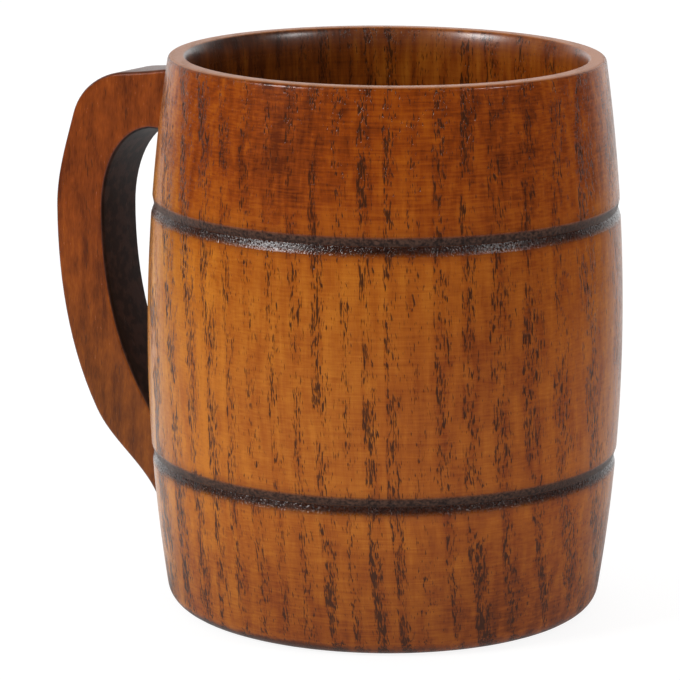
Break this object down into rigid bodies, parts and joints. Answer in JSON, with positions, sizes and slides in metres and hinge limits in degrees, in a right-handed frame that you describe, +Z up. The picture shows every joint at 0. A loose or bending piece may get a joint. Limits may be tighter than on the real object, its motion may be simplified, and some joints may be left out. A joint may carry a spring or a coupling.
{
  "type": "wooden tankard",
  "caption": "Barrel-shaped wooden drinking mug with scorched grooves, a let-in bottom and a flat ear-shaped side handle.",
  "frame": {"origin": "centre of the flat underside, on the barrel's axis", "axes": "+Z up along the barrel's axis, handle on the -X side in the XZ plane, +Y across the handle"},
  "size_m": [0.1238, 0.0944, 0.11],
  "materials": {
    "barrel_wood": "ring-porous hardwood, stained orange-brown and lacquered to a soft gloss, with two scorched grooves",
    "bottom_wood": "flat-sawn hardwood of the barrel's kind, stained and lacquered",
    "handle_wood": "plain sawn hardwood board, stained red-brown and lacquered",
    "dowel_wood": "bare fluted hardwood peg"
  },
  "bodies": {
    "root": {"barrel": "barrel_wood", "bottom_disc": "bottom_wood", "handle": "handle_wood", "upper_dowel": "dowel_wood", "lower_dowel": "dowel_wood"}
  },
  "joints": []
}
